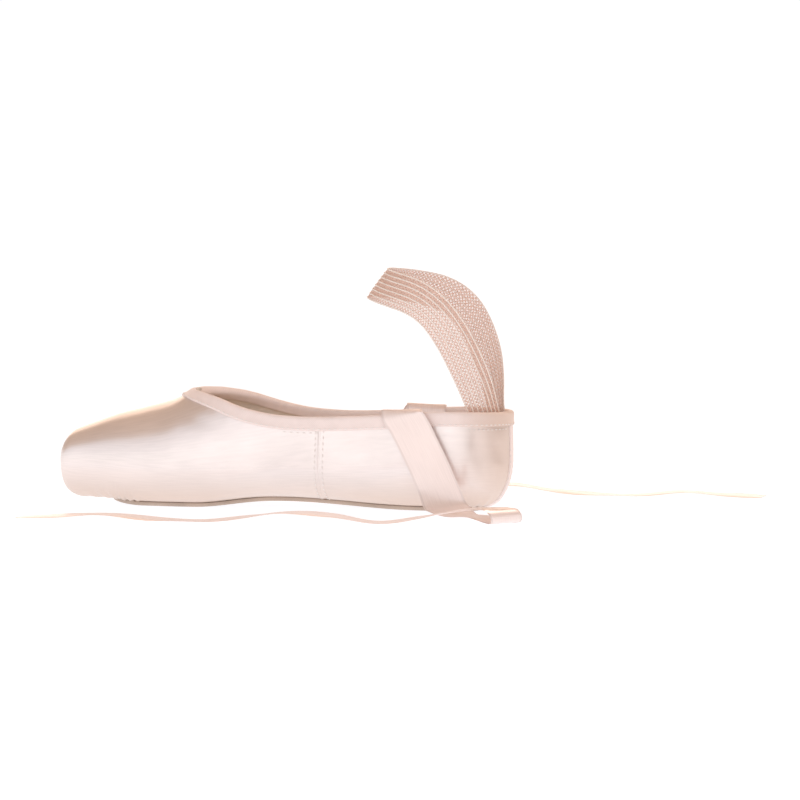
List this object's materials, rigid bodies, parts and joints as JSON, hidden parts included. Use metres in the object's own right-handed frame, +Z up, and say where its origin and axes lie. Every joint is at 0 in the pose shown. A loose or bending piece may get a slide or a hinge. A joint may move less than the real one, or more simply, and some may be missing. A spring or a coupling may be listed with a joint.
{
  "type": "pointe shoe",
  "caption": "Satin pointe shoe with a flat stiffened toe, a bound collar, a leather sole, a ribbed heel elastic over the ankle and satin ribbons lying loose.",
  "frame": {"origin": "on the floor, under the middle of the shoe's length and width, with the ribbons left out", "axes": "+X to the flat toe, +Y to the shoe's left, +Z up from the sole"},
  "size_m": [0.3665, 0.2724, 0.1315],
  "materials": {
    "satin": "satin",
    "binding_tape": "semi-matte",
    "sole_leather": "suede",
    "lining": "matte",
    "elastic_mesh": "matte",
    "ribbon_satin": "satin"
  },
  "bodies": {
    "root": {"upper": "satin", "outsole": "sole_leather", "insole": "lining", "binding": "binding_tape", "heel_elastic": "elastic_mesh", "ribbon_left": "ribbon_satin", "ribbon_right": "ribbon_satin"}
  },
  "joints": []
}
